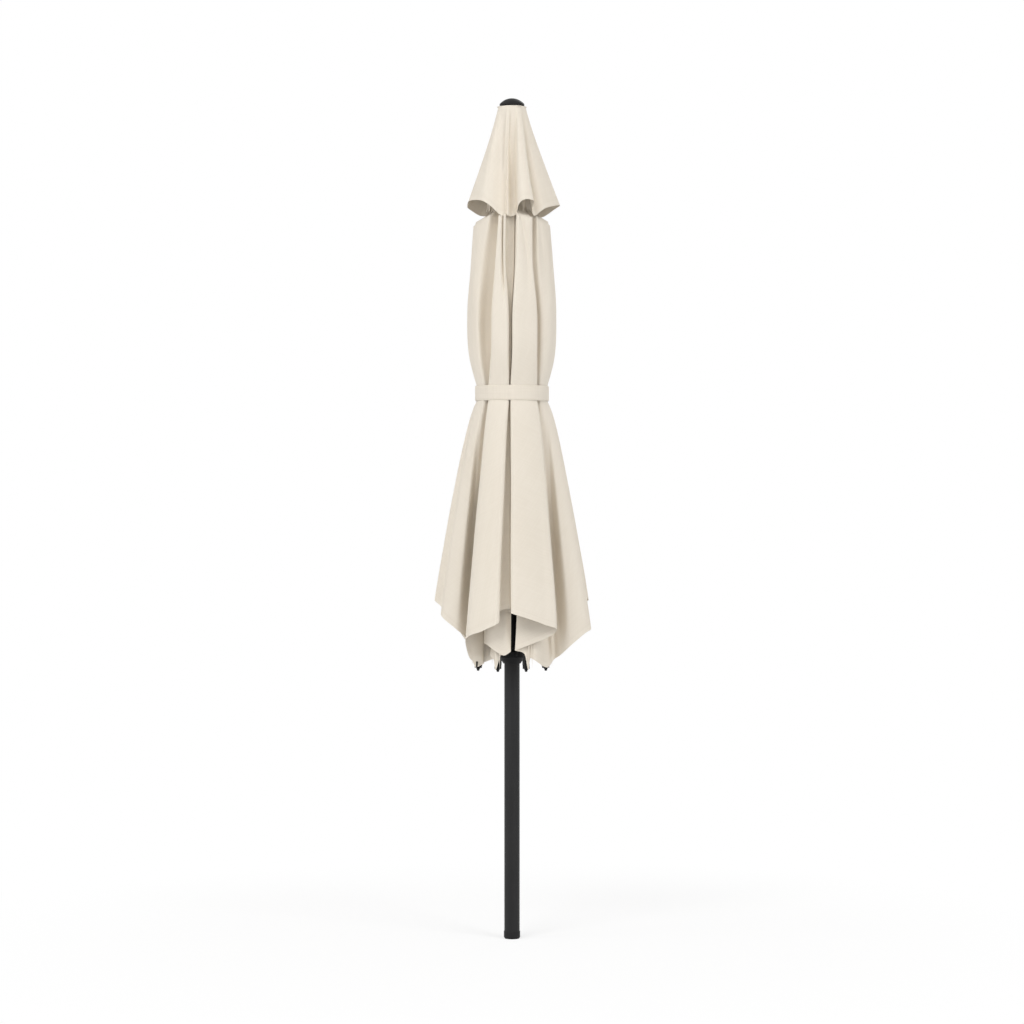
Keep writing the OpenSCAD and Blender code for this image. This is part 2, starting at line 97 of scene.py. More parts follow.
# the sockets of a Mix node between colours, by number
MIX_SHARE, MIX_FIRST, MIX_SECOND, MIX_RESULT = 0, 6, 7, 2


class Wire:
    """A socket in a material. Arithmetic on it adds Math nodes, with numbers on either side."""

    def __init__(self, tree, socket):
        self.tree, self.socket = tree, socket

    def sum_of(self, operation, *values):
        return Nodes(self.tree).add("ShaderNodeMath", {"operation": operation}, dict(enumerate(values)))

    def __add__(self, other):
        return self.sum_of("ADD", self, other)

    def __radd__(self, other):
        return self.sum_of("ADD", other, self)

    def __sub__(self, other):
        return self.sum_of("SUBTRACT", self, other)

    def __rsub__(self, other):
        return self.sum_of("SUBTRACT", other, self)

    def __mul__(self, other):
        return self.sum_of("MULTIPLY", self, other)

    def __rmul__(self, other):
        return self.sum_of("MULTIPLY", other, self)

    def __truediv__(self, other):
        return self.sum_of("DIVIDE", self, other)

    def __abs__(self):
        return self.sum_of("ABSOLUTE", self)

    def sine(self):
        return self.sum_of("SINE", self)

    def part(self):
        """What is left over a whole number."""
        return self.sum_of("FRACT", self)

    def below(self, limit):
        """1 under the limit, 0 over it."""
        return self.sum_of("LESS_THAN", self, limit)

    def between(self, low, high):
        """0 at low and under it, 1 at high and over it, smooth in between."""
        return Nodes(self.tree).add(
            "ShaderNodeMapRange", {"interpolation_type": "SMOOTHSTEP"},
            {"Value": self, "From Min": low, "From Max": high},
        )


class Nodes:
    """Adds nodes to a material, a world or a light."""

    def __init__(self, tree):
        self.tree = tree

    def add(self, kind, settings=None, sockets=None, out=0):
        node = self.tree.nodes.new(kind)
        for name, value in (settings or {}).items():
            setattr(node, name, value)
        for name, value in (sockets or {}).items():
            if isinstance(value, Wire):
                self.tree.links.new(value.socket, node.inputs[name])
            else:
                node.inputs[name].default_value = value
        return Wire(self.tree, node.outputs[out]) if len(node.outputs) else node

    def mixed(self, share, first, second):
        """A colour between two colours, by a share from 0 to 1."""
        colours = {MIX_SHARE: share, MIX_FIRST: first, MIX_SECOND: second}
        return self.add("ShaderNodeMix", {"data_type": "RGBA"}, colours, out=MIX_RESULT)

    def where(self):
        """The point on the surface, in metres, as it moves with its piece."""
        return self.add("ShaderNodeTexCoord", None, None, out="Object")

    def cloudy(self, scale, detail=2, stretch=(1, 1, 1), at=None):
        """Soft noise from 0 to 1, with scale in waves per metre."""
        sockets = {0: at or self.where(), 1: stretch}
        point = self.add("ShaderNodeVectorMath", {"operation": "MULTIPLY"}, sockets)
        return self.add("ShaderNodeTexNoise", None, {"Vector": point, "Scale": scale, "Detail": detail})


def blank(name):
    """A new empty material and what adds its nodes."""
    material = bpy.data.materials.new(name)
    material.use_nodes = True
    material.node_tree.nodes.clear()
    return material, Nodes(material.node_tree)


def shown(nodes, surface):
    """Makes a shader the surface of its material."""
    nodes.add("ShaderNodeOutputMaterial", None, {"Surface": surface})


def put(name, points, faces, material, body=None):
    """A mesh object from points in metres, smooth, riding on a body."""
    mesh = bpy.data.meshes.new(name)
    mesh.from_pydata([tuple(p) for p in points], [], [tuple(f) for f in faces])
    mesh.materials.append(material)
    mesh.shade_smooth()
    piece = bpy.data.objects.new(name, mesh)
    scene.collection.objects.link(piece)
    if body:
        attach(piece, body)
    return piece


floor_finish, n = blank("pale_floor")
seen = n.add("ShaderNodeLightPath", None, None, out="Is Camera Ray")
mirrored = n.add("ShaderNodeLightPath", None, None, out="Is Glossy Ray")
away = n.add("ShaderNodeVectorMath", {"operation": "LENGTH"}, {0: n.where()}, out=1)
lit_floor = n.add("ShaderNodeBsdfDiffuse", None, {"Color": FLOOR_GREY, "Roughness": 1.0})
white = n.add("ShaderNodeEmission", None, {"Color": WHITE, "Strength": 1.0})
fade = away.between(WHITE_FROM, WHITE_AT) * (1 - WHITE_LEAST) + WHITE_LEAST
shown_white = fade * (1 - (1 - seen) * (1 - mirrored))
shown(n, n.add("ShaderNodeMixShader", None, {0: shown_white, 1: lit_floor, 2: white}))
FLOOR_CORNERS = [(x * FLOOR_HALF, y * FLOOR_HALF, FLOOR_Z) for x, y in ((-1, -1), (1, -1), (1, 1), (-1, 1))]
floor = put("floor", FLOOR_CORNERS, [(0, 1, 2, 3)], floor_finish)

scene.world = bpy.data.worlds.new("studio")
scene.world.use_nodes = True
scene.world.node_tree.nodes.clear()
n = Nodes(scene.world.node_tree)
seen = n.add("ShaderNodeLightPath", None, None, out="Is Camera Ray")
mirrored = n.add("ShaderNodeLightPath", None, None, out="Is Glossy Ray")
through = n.add("ShaderNodeLightPath", None, None, out="Is Transmission Ray")
open_air = 1 - (1 - seen) * (1 - mirrored) * (1 - through)
around = n.add("ShaderNodeBackground", None, {"Color": ROUND_COLOUR, "Strength": ROUND_LIGHT})
backdrop = n.add("ShaderNodeBackground", None, {"Color": WHITE, "Strength": 1.0})
both = n.add("ShaderNodeMixShader", None, {0: open_air, 1: around, 2: backdrop})
n.add("ShaderNodeOutputWorld", None, {"Surface": both})

for name, place, size, watts in SOFT_BOXES:
    lamp = bpy.data.lights.new(name, "AREA")
    lamp.shape, lamp.size, lamp.energy = "SQUARE", size, watts
    box = bpy.data.objects.new(name, lamp)
    box.location = place
    box.rotation_euler = (LIT_POINT - Vector(place)).to_track_quat("-Z", "Y").to_euler()
    scene.collection.objects.link(box)


# ---- Pole, joint sleeve, hubs and small hardware ----
# The two pole lengths are rolled steel tube with a charcoal satin coat, joined by a sleeve inside. The crown,
# the runner, the finial, the foot cap and the catch button are moulded black plastic. The pins, the stud, the
# sleeve and the catch spring are bare steel.
# The second coat colour is lighter. It serves worn patches and also the painted sheen of the vertical
# streaks.
COAT, COAT_WORN_AND_SHEEN = (0.010, 0.010, 0.0105, 1), (0.018, 0.018, 0.0185, 1)
PLASTIC, PLASTIC_RUBBED = (0.007, 0.007, 0.0075, 1), (0.014, 0.014, 0.0145, 1)
STEEL, STEEL_DULL = (0.56, 0.56, 0.57, 1), (0.42, 0.42, 0.43, 1)


def coated_steel():
    material, n = blank("charcoal_coat")
    # Vertical streaks lighten the coat's colour: partly the tube's drawn marks, partly painted sheen standing
    # in for highlights along the tube.
    drawn_streaks_and_sheen = n.cloudy(60, 3, (1, 1, 0.06))
    patches = n.cloudy(9, 3)
    peel = n.cloudy(900, 2)
    tone = n.mixed((drawn_streaks_and_sheen * 0.5 + patches * 0.5).between(0.35, 0.75), COAT, COAT_WORN_AND_SHEEN)
    skin = n.add("ShaderNodeBump", None, {"Strength": 0.12, "Distance": 0.0004, "Height": peel + drawn_streaks_and_sheen * 0.6})
    shown(n, n.add("ShaderNodeBsdfPrincipled", None, {
        "Base Color": tone, "Roughness": 0.46 + 0.12 * patches, "Normal": skin, "Specular IOR Level": 0.28,
    }))
    return material


def black_plastic():
    material, n = blank("moulded_black")
    grain = n.cloudy(1500, 2)
    patches = n.cloudy(30, 3)
    edge = n.add("ShaderNodeNewGeometry", None, None, out="Pointiness").between(0.52, 0.6)
    tone = n.mixed((patches * 0.4 + edge * 0.6).between(0.1, 0.9), PLASTIC, PLASTIC_RUBBED)
    skin = n.add("ShaderNodeBump", None, {"Strength": 0.25, "Distance": 0.0003, "Height": grain})
    shown(n, n.add("ShaderNodeBsdfPrincipled", None, {
        "Base Color": tone, "Roughness": 0.5 + 0.16 * patches, "Normal": skin, "Specular IOR Level": 0.22,
    }))
    return material


def bright_steel():
    material, n = blank("bare_steel")
    turned = n.cloudy(700, 2, (1, 1, 6))
    patches = n.cloudy(40, 3)
    skin = n.add("ShaderNodeBump", None, {"Strength": 0.2, "Distance": 0.0002, "Height": turned})
    shown(n, n.add("ShaderNodeBsdfPrincipled", None, {
        "Base Color": n.mixed(patches, STEEL, STEEL_DULL), "Roughness": 0.28 + 0.2 * patches,
        "Metallic": 1.0, "Normal": skin,
    }))
    return material


def refinish(material, *nodes):
    """Gives nodes of the frame a material of this file."""
    for name in nodes:
        mesh = frame["nodes"][name].data
        mesh.materials.clear()
        mesh.materials.append(material)


RIBS = range(1, 9)
coat, plastic, steel = coated_steel(), black_plastic(), bright_steel()
refinish(coat, "lower_pole", "upper_pole")
refinish(plastic, "foot_cap", "crown_hub", "finial", "runner_hub", "catch_button")
refinish(steel, "pole_joint_sleeve", "finial_stud", "crown_pins", "runner_pins", "catch_spring")


# ---- Ribs, rib tips and struts ----
# Eight ribs and eight struts of thin-walled steel tube with the pole's coat, pinned at their pivots. Each rib
# ends in a black plastic tip that is sewn into a corner of the canopy.
refinish(coat, *[f"rib_{k}" for k in RIBS], *[f"strut_{k}" for k in RIBS])
refinish(plastic, *[f"rib_tip_{k}" for k in RIBS])


# ---- Canopy, gathered ----
# Woven canvas, one gore between each two ribs, sewn to the tips and folded round the pole while the umbrella
# is closed. Each piece is the cloth about one rib: its outer fold and the layers tucked behind it. It
# rides on its rib.
# Lengths are in mm from here on, where no other unit is named.
MM = 0.001
# in degrees: where the front is, and the angle from one rib to the next
FRONT, SECTOR = -90, 45
# the ribs' hinges: their height, their distance from the pole's middle, and the lean of a closed rib
CROWN_Z, HINGE_R, TILT = 2030, 28, math.radians(2.6)
# the heights at which the cloth's place is given
SHOULDER_Z, BELLY_Z, SWELL_Z, STRAP_TOP_Z, STRAP_LOW_Z = 1655, 1540, 1428, 1363, 1325
CANVAS, CANVAS_DEEP = (0.83, 0.765, 0.665, 1), (0.775, 0.705, 0.60, 1)
# on the cloth, in metres: the step of the threads, the height of the stitches above the hem and their step,
# half of a stitch's breadth with its soft edge, and the darker line above the stitches with half its breadth
THREAD, STITCH_ROW, STITCH_STEP = 0.0008, 0.014, 0.005
STITCH_HALF, SEAM_UP, SEAM_HALF = (0.0005, 0.0011), 0.004, 0.0035
# the share of a stitch's step that is thread, and how strongly the gap after it still shows
STITCH_SHARE, STITCH_GAP = 0.72, 0.35

# Where things stand in a line: the angles, each with its distance after it, then the two heights, the
# set-back and the length of a whole line.
TOP, SHOULDER, BELLY, STRAP, HEM = 0, 3, 5, 7, 9
TOP_Z, HEM_Z, SET_BACK, LINE_LENGTH = 2, 11, 12, 13
# How each tucked layer differs from the one outside it, in the order of a line.
LAYER_STEP = (0, -3, 1.5, 0, -3.2, 0, -3.8, 0, -1.9, 0, -8, 0)


def tucked(first, middle, last, layers, rise):
    """The layers folded flat behind a stretch of cloth, from the innermost out, along three of its lines.
    rise is how much higher their hems hang."""
    lines = []
    for layer in range(layers, 0, -1):
        there_or_back = 1 if (layers - layer) % 2 == 0 else -1
        for line in (first, middle, last)[::there_or_back]:
            moved = [value + step * layer for value, step in zip(line, LAYER_STEP)]
            moved[HEM_Z] += rise
            lines.append((*moved, *line[SET_BACK:]))
    return lines


# Each line runs down the cloth. Its place is an angle from the front, to the right, and a distance from the
# pole's middle: at the top edge with its height, at the shoulder, at the belly, under the strap, and at the
# hem with its height. A last number says how far the line is set back from the front between the strap and
# the hem.
LEFT_OUTER = [
    (-88, 60, 1782, -88, 74, -88, 78, -88, 60, -101, 110, 770),
    *tucked(
        (-84, 93, 1764, -84, 100, -84, 107, -84, 87.4, -94, 184, 815),
        (-68, 93, 1764, -71, 100, -71, 108, -69, 87.8, -95, 160, 800),
        (-50, 88, 1774, -58, 94, -57, 104, -55, 87, -100, 125, 785),
        layers=6, rise=14,
    ),
    (-88.5, 89, 1764, -88.5, 98, -88.5, 104, -87, 86.5, -99, 186, 838),
    (-85, 94.5, 1756, -85, 102, -85, 110, -84, 88, -96, 193, 834),
    (-76, 95, 1756, -76, 102.5, -77, 110, -78, 87.4, -90.7, 174, 817),
    (-64, 94.5, 1761, -68, 102, -69, 110.5, -71, 88, -81.5, 176, 797),
    (-47, 93, 1770, -59, 101, -57, 110.5, -59, 88.4, -69, 145, 764),
    (-37, 91, 1775, -50, 94, -50, 106, -50, 88, -70, 121, 744, 38),
    (-34, 74, 1778, -46, 77, -50.5, 84, -47, 76, -76, 113, 716, 34),
    (-26, 57, 1783, -35, 60, -40, 62, -44, 56, -66, 98, 669, 12),
]
LEFT_FRONT = [
    LEFT_OUTER[-1],
    (-22.4, 80, 1780, -26, 88, -30, 94, -41.4, 80, -53, 88, 684),
    (-21, 91, 1775, -24.6, 97, -28.8, 105, -40.7, 87.3, -57, 120, 690),
    (-19.6, 94, 1773, -22.6, 99.3, -26.3, 108.5, -37.4, 88.5, -48, 152, 736),
    (-17.5, 94.5, 1772, -19.5, 100, -22, 109.3, -30, 88.7, -41.5, 158.5, 750),
    (-15.8, 93, 1773, -15.5, 99.5, -15, 109, -19, 88.6, -28, 155.5, 763),
    (-14.2, 82, 1777, -13.2, 89.5, -10.5, 108.6, -12, 88.5, -21, 155, 772),
    (-12.6, 91.5, 1775, -12, 97, -7, 108, -7.5, 88.3, -14.5, 154.5, 780),
    (-9.6, 90, 1777, -9.6, 94, -5, 104.5, -4.9, 86, -12.4, 148, 786),
    (-7.6, 72, 1780, -8.4, 78, -4.4, 94, -4.4, 78, -15, 124, 810),
    (7, 66, 1781, 4.6, 74, -0.6, 88, -3.8, 72, -2.2, 110, 817),
    (4, 64, 1781, 2.5, 72, -2, 86, -6, 72, -1.6, 105, 810),
    *tucked(
        (-14, 76, 1778, -13, 82, -9, 103, -8, 85, -19, 139, 792),
        (-14, 77, 1776, -14.5, 84, -15, 106, -21, 86, -28, 143, 775),
        (-19.5, 88, 1776, -22, 92, -26.5, 103, -38, 85, -44, 146, 765),
        layers=4, rise=14,
    ),
    (-12, 64, 1780, -14, 76, -20, 90, -26, 78, -36, 90, 702),
    (-11, 65, 1780, -13, 76, -18, 91, -22, 79, -27, 97, 690),
    (-10, 65, 1780, -12, 76, -16, 92, -20, 79, -22.5, 104, 667),
    (-9, 66, 1780, -11, 76, -14, 92, -18, 79, -17, 93, 703),
    (-17, 68, 1780, -19, 79, -27, 89, -35, 76, -52, 88, 684),
    (-15, 67, 1780, -17, 78, -25, 91, -33, 79, -38, 110, 732),
    (-5, 63, 1781, -6, 72, -8, 84, -8, 76, -11.2, 105, 703),
    (9, 58, 1782, 6, 66, 0, 76, -3.4, 56, -1.6, 101, 712),
]
RIGHT_FRONT = [
    LEFT_FRONT[-1],
    (8.6, 68, 1781, 5.6, 77, 0.6, 86, -3, 74, -1.4, 112, 802),
    *tucked(
        (9.5, 89, 1778, 8, 96, 4, 108, -1, 88, 1, 146, 806),
        (18, 91, 1774, 20, 96, 18, 110, 20, 88.5, 21, 148, 794),
        (30, 92, 1772, 31, 97, 33, 106, 42, 88, 40, 155, 780),
        layers=6, rise=14,
    ),
    (7, 89, 1778, 4.8, 95.5, 0.4, 107, -2.2, 86.3, -1.4, 145, 808),
    (8.4, 94, 1776, 6.2, 99.5, 2, 110.5, -0.6, 88.5, 0.4, 150, 806),
    (11, 93, 1775, 15, 101, 9, 111.4, 7, 88.8, 10, 150.5, 798),
    (14.5, 89.5, 1775, 24, 97, 20, 110, 19, 88.7, 22, 150.5, 788),
    (21, 94.5, 1771, 28, 99.8, 28, 110, 30, 88.8, 32, 154, 778),
    (31, 95, 1769, 31.2, 99, 34, 108.5, 43, 88.4, 42.5, 159.5, 769),
    (33.4, 91, 1771, 32.8, 96, 35.6, 104.5, 45.6, 86.8, 45.8, 153, 763),
    (34.2, 78, 1777, 33.8, 84, 37, 90, 46.6, 78, 42, 138, 750),
    (36, 58, 1782, 36, 66, 40, 66, 49, 56, 4, 101, 715),
]
RIGHT_OUTER = [
    RIGHT_FRONT[-1],
    (36.5, 60, 1782, 36.5, 67, 41, 68, 49.2, 59, 18, 97, 706),
    (37.5, 62, 1782, 37, 69, 42.5, 70, 49.5, 62, 22.5, 103, 667),
    (38.2, 64, 1781, 37.5, 70, 43.5, 72, 49.7, 65, 27, 98, 696),
    (39, 66, 1781, 38, 72, 45, 74, 50, 68, 32, 103, 691),
    (42, 80, 1778, 42, 83, 47.5, 84, 52, 77, 59.5, 100, 671, 12),
    (43, 91, 1774, 45.5, 93, 48.5, 96, 54, 85, 74, 108, 690, 34),
    (47, 91, 1770, 56, 95, 55, 104, 59, 88, 72, 124, 700, 38),
    (54, 93.5, 1766, 64, 99.5, 62, 108.5, 66, 88.5, 74, 149, 724),
    (68, 95, 1760, 72, 102, 73, 110, 75, 88.4, 81, 181, 753),
    (83, 94.5, 1756, 83, 103, 84, 110.8, 85, 88, 88.5, 195.5, 765),
    (89.5, 89, 1763, 89, 98, 90, 105, 89.5, 86, 94, 186, 777),
    *tucked(
        (84, 93, 1764, 84, 101, 84, 108, 84, 87.4, 88, 186, 780),
        (70, 93, 1766, 71, 98, 73, 106.5, 73, 87.8, 93, 160, 775),
        (54, 86, 1772, 60, 92, 61, 102, 64, 86, 98, 125, 765),
        layers=6, rise=14,
    )[::-1],
    (92, 60, 1782, 92, 74, 92, 78, 92, 60, 98, 110, 770),
]
# Above its top edge the cloth is drawn in to the ribs, under the vent cap: how far up, and how much of its
# distance from the pole is left there. It never comes nearer than NECK_LEAST.
NECK = [(64, 0.5), (42, 0.53), (27, 0.59), (16, 0.71), (8, 0.85), (2.5, 0.95)]
NECK_LEAST = 50


def canvas(name, rows=(STITCH_ROW,), tone=CANVAS, deep=CANVAS_DEEP):
    """Plain-woven canvas. The cloth map gives metres across and up from the hem; rows are where the lines of
    stitches lie."""
    material, n = blank(name)
    cloth_map = n.add("ShaderNodeUVMap", {"uv_map": "cloth"})
    across = n.add("ShaderNodeSeparateXYZ", None, {0: cloth_map}, out=0)
    up = n.add("ShaderNodeSeparateXYZ", None, {0: cloth_map}, out=1)
    warp = (across * (math.tau / THREAD)).sine()
    weft = (up * (math.tau / THREAD)).sine()
    slub = n.cloudy(260, 2, (1, 0.05, 1), cloth_map) + n.cloudy(260, 2, (0.05, 1, 1), cloth_map)
    soft = n.cloudy(5, 3)
    sewn = 0
    for row in rows:
        line = 1 - abs(up - row).between(*STITCH_HALF)
        dash = (across / STITCH_STEP).part().below(STITCH_SHARE)
        sewn = sewn + line * (STITCH_GAP + (1 - STITCH_GAP) * dash)
    seam = 1 - abs(up - (rows[-1] + SEAM_UP)).between(0.0, SEAM_HALF)
    uneven = (slub * 0.5).between(0.38, 0.62) * 0.3 + soft.between(0.35, 0.7) * 0.4
    shade = uneven + sewn * 0.55 + seam * 0.12
    height = warp * weft * 0.5 + slub * 0.6 - sewn * 2.2
    skin = n.add("ShaderNodeBump", None, {"Strength": 0.28, "Distance": 0.00022, "Height": height})
    shown(n, n.add("ShaderNodeBsdfPrincipled", None, {
        "Base Color": n.mixed(shade, tone, deep), "Roughness": 0.82 + 0.1 * soft, "Normal": skin,
        "Specular IOR Level": 0.22, "Sheen Weight": 0.08, "Sheen Roughness": 0.6,
    }))
    return material


# An even curve is nowhere steeper at a knot than this many times the flatter of the two steps beside it.
STEEPEST = 2.5


def flow(knots, values, at, even=False):
    """A smooth curve through values at the knots. With even, it never swings past a value."""
    knots, values, at = np.asarray(knots, float), np.asarray(values, float), np.asarray(at, float)
    step = np.diff(knots)
    slope = np.diff(values, axis=0) / step[:, None]
    bend = np.empty_like(values)
    bend[0], bend[-1] = slope[0], slope[-1]
    before, after = step[:-1, None], step[1:, None]
    bend[1:-1] = (slope[:-1] * after + slope[1:] * before) / (before + after)
    if even:
        limit = STEEPEST * np.minimum(abs(slope[:-1]), abs(slope[1:]))
        inner = np.clip(bend[1:-1], -limit, limit)
        bend[1:-1] = np.where(slope[:-1] * slope[1:] > 0, inner, 0)
    i = np.clip(np.searchsorted(knots, at, side="right") - 1, 0, len(knots) - 2)
    h, t = step[i][:, None], ((at - knots[i]) / step[i])[:, None]
    return (
        values[i] * (1 + 2 * t) * (1 - t) ** 2 + bend[i] * h * t * (1 - t) ** 2
        + values[i + 1] * t * t * (3 - 2 * t) + bend[i + 1] * h * t * t * (t - 1)
    )


def polar(angle, radius):
    """A place in plan, in mm: the angle is from the front towards the right."""
    a = np.radians(angle)
    return np.stack([radius * np.sin(a), -radius * np.cos(a)], -1)


def cloth_piece(name, grid, material, body=None):
    """A sheet with its cloth map, from a grid of points whose first row is the top edge and whose last row is
    the hem."""
    rows, columns = grid.shape[:2]
    index = np.arange(rows * columns).reshape(rows, columns)
    faces = np.stack([index[:-1, :-1], index[1:, :-1], index[1:, 1:], index[:-1, 1:]], -1).reshape(-1, 4)
    piece = put(name, grid.reshape(-1, 3) * MM, faces, material, body)
    across = np.linalg.norm(np.diff(grid, axis=1), axis=2)
    across = np.concatenate([np.zeros((rows, 1)), np.cumsum(across, axis=1)], axis=1)
    up = np.linalg.norm(np.diff(grid, axis=0), axis=2)
    up = np.concatenate([np.cumsum(up[::-1], axis=0)[::-1], np.zeros((1, columns))], axis=0)
    places = np.stack([across, up], -1).reshape(-1, 2) * MM
    corners = np.zeros(len(piece.data.loops), np.int32)
    piece.data.loops.foreach_get("vertex_index", corners)
    cloth_map = piece.data.uv_layers.new(name="cloth")
    cloth_map.data.foreach_set("uv", places[corners].ravel().astype(np.float32))
    return piece


# Without a seed of its own, the vector noise would start from the clock.
SEED, SLACK_LONG = 11, 3.2
noise.seed_set(SEED)


def ruffle(grid, size, amount, start):
    """Moves the points of a sheet a little in the plan, as slack cloth lies, by smooth noise. The waves are
    about as wide as size and SLACK_LONG times as long; start picks another stretch of the noise."""
    moved = grid.copy()
    for row in moved:
        for point in row:
            place = Vector((point[0] / size, point[1] / size, point[2] / (SLACK_LONG * size) + start))
            shift = noise.noise_vector(place)
            point[0] += amount * shift.x
            point[1] += amount * shift.y
    return moved


# Lines nearer than CLOSEST count as that far apart, and wide stretches are evened out by GAP_POWER. The first
# stretch has FIRST_PARTS columns; any other has LEAST_PARTS and one more for each PART_EVERY of its width, up
# to a width of WIDEST.
CLOSEST, GAP_POWER = 3, 0.75
FIRST_PARTS, LEAST_PARTS, PART_EVERY, WIDEST = 5, 4, 5, 40


def spread_along(lines):
    """Knots along a set of neighbouring lines, by how far apart they lie, and the places of the columns."""
    plan = np.array([[polar(line[i], line[i + 1]) for i in (SHOULDER, BELLY, STRAP, HEM)] for line in lines])
    gap = np.linalg.norm(np.diff(plan, axis=0), axis=2).mean(axis=1)
    knots = np.concatenate([[0], np.cumsum(np.maximum(gap, CLOSEST) ** GAP_POWER)])
    at = [knots[0] + (knots[1] - knots[0]) * i / FIRST_PARTS for i in range(FIRST_PARTS)]
    for first, last, apart in zip(knots[1:], knots[2:], gap[1:]):
        parts = LEAST_PARTS + int(min(apart, WIDEST) / PART_EVERY)
        at += [first + (last - first) * i / parts for i in range(parts)]
    return knots, np.array(at + [knots[-1]])


UPPER_ROWS, BAND_ROWS, LOWER_ROWS = 40, 3, 48
# At SWELL_Z the cloth is already this share of the way out from the strap to the belly.
SWELL_BELLY = 0.74
# Just under the strap the cloth spreads faster: by how much, and within which share of the way to the hem.
FLARE, FLARE_WITHIN = 0.10, 0.06
# The set-back is at its deepest where the way down, to this power, is a half.
SET_BACK_POWER = 1.8


def gathered_cloth(lines, turn=0, hem_angles=None, hem_lift=None):
    """The grid of one gathered piece, from its lines. turn carries it round the pole. At the hem, hem_angles
    take the place of the lines' own and hem_lift raises them."""
    lines = np.array([tuple(line) + (0,) * (LINE_LENGTH - len(line)) for line in lines], float)
    knots, at = spread_along(lines)
    hem_angle = lines[:, HEM] + turn if hem_angles is None else hem_angles
    hem_height = lines[:, HEM_Z : HEM_Z + 1] + (0 if hem_lift is None else hem_lift[:, None])
    back = lines[:, SET_BACK : SET_BACK + 1] * math.cos(math.radians(turn))
    top, shoulder, belly, waist = (
        flow(knots, polar(lines[:, i] + turn, lines[:, i + 1]), at) for i in (TOP, SHOULDER, BELLY, STRAP)
    )
    top_z = flow(knots, lines[:, TOP_Z : TOP_Z + 1], at, even=True)[:, 0]
    hem = flow(knots, polar(hem_angle, lines[:, HEM + 1]), at)
    hem_z = flow(knots, hem_height, at, even=True)[:, 0]
    set_back = flow(knots, back, at, even=True)[:, 0]
    swell = waist * (1 - SWELL_BELLY) + belly * SWELL_BELLY
    grid = np.zeros((UPPER_ROWS + BAND_ROWS + LOWER_ROWS, len(at), 3))
    for c in range(len(at)):
        heights = [STRAP_TOP_Z, SWELL_Z, BELLY_Z, SHOULDER_Z, top_z[c]]
        z = np.linspace(top_z[c], STRAP_TOP_Z, UPPER_ROWS)
        grid[:UPPER_ROWS, c, :2] = flow(heights, [waist[c], swell[c], belly[c], shoulder[c], top[c]], z)
        grid[:UPPER_ROWS, c, 2] = z
    for i in range(BAND_ROWS):
        grid[UPPER_ROWS + i, :, :2] = waist
        grid[UPPER_ROWS + i, :, 2] = STRAP_TOP_Z + (STRAP_LOW_Z - STRAP_TOP_Z) * (i + 1) / (BAND_ROWS + 1)
    for i in range(LOWER_ROWS):
        down = i / (LOWER_ROWS - 1)
        spread = down + FLARE * (1 - math.exp(-down / FLARE_WITHIN)) * (1 - down ** 3)
        row = UPPER_ROWS + BAND_ROWS + i
        grid[row, :, :2] = waist + (hem - waist) * spread
        grid[row, :, 1] += set_back * math.sin(math.pi * down ** SET_BACK_POWER)
        grid[row, :, 2] = STRAP_LOW_Z + (hem_z - STRAP_LOW_Z) * down
    edge = grid[0]
    across = np.linalg.norm(edge[:, :2], axis=1)
    neck = np.repeat(edge[None], len(NECK), axis=0)
    for row, (rise, left) in zip(neck, NECK):
        row[:, :2] *= (np.maximum(across * left, np.minimum(across, NECK_LEAST)) / across)[:, None]
        row[:, 2] += rise
    return np.concatenate([neck, grid])


def rib_frame(k):
    """Of a closed rib: its hinge, and the directions down it and away from the pole."""
    a = math.radians(FRONT + SECTOR * (k - 0.5))
    out = np.array([math.cos(a), math.sin(a), 0])
    up = np.array([0, 0, 1.0])
    hinge = out * HINGE_R + up * CROWN_Z
    return hinge, out * math.sin(TILT) - up * math.cos(TILT), out * math.cos(TILT) + up * math.sin(TILT)


def lies_flat_when_open(piece, k):
    """Gives a piece a mesh of its own. Nothing here flattens it along rib k as the canopy opens."""
    hinge, _, out = rib_frame(k)
    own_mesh(piece)


def behind(lines, low, high, near, far):
    """Hem angles of lines that are turned to the back: those from low to high go to near to far."""
    angle = np.array([line[HEM] for line in lines], float) + 180
    pulled = near + (angle - low) * (far - near) / (high - low)
    return np.where((angle >= low) & (angle <= high), pulled, angle)


cloth = canvas("canopy_canvas")
back_right = behind(LEFT_OUTER, low=79, high=111, near=98, far=114)
back_right[0] = 98
back_left = behind(RIGHT_OUTER, low=256, high=278, near=248, far=259)
back_left[-1] = 259
# At the back left the hem hangs higher than in front. A hem LIFTED_OVER above LIFTED_FROM goes up by LIFT,
# and what lies lower goes up by less.
LIFT, LIFTED_FROM, LIFTED_OVER, LIFTED_MOST = 67, 670, 95, 1.2
height = (np.array([line[HEM_Z] for line in RIGHT_OUTER]) - LIFTED_FROM) / LIFTED_OVER
lift_left = LIFT * np.sqrt(np.clip(height, 0, LIFTED_MOST))
# The lines, turn, hem angles and hem lift of the cloth about each rib. The folds at the back are those of the
# front, turned round.
FOLDS = {
    7: (LEFT_OUTER,),
    8: (LEFT_FRONT,),
    1: (RIGHT_FRONT,),
    2: (RIGHT_OUTER,),
    3: (LEFT_OUTER, 180, back_right),
    4: (LEFT_FRONT, 180),
    5: (RIGHT_FRONT, 180),
    6: (RIGHT_OUTER, 180, back_left, lift_left),
}
for k, how in FOLDS.items():
    grid = ruffle(gathered_cloth(*how), size=55, amount=1.6, start=3)
    gore = cloth_piece(f"canopy_gathers_{k}", grid, cloth, f"rib_{k}")
    lies_flat_when_open(gore, k)
    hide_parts(f"canopy_fold_{k}")


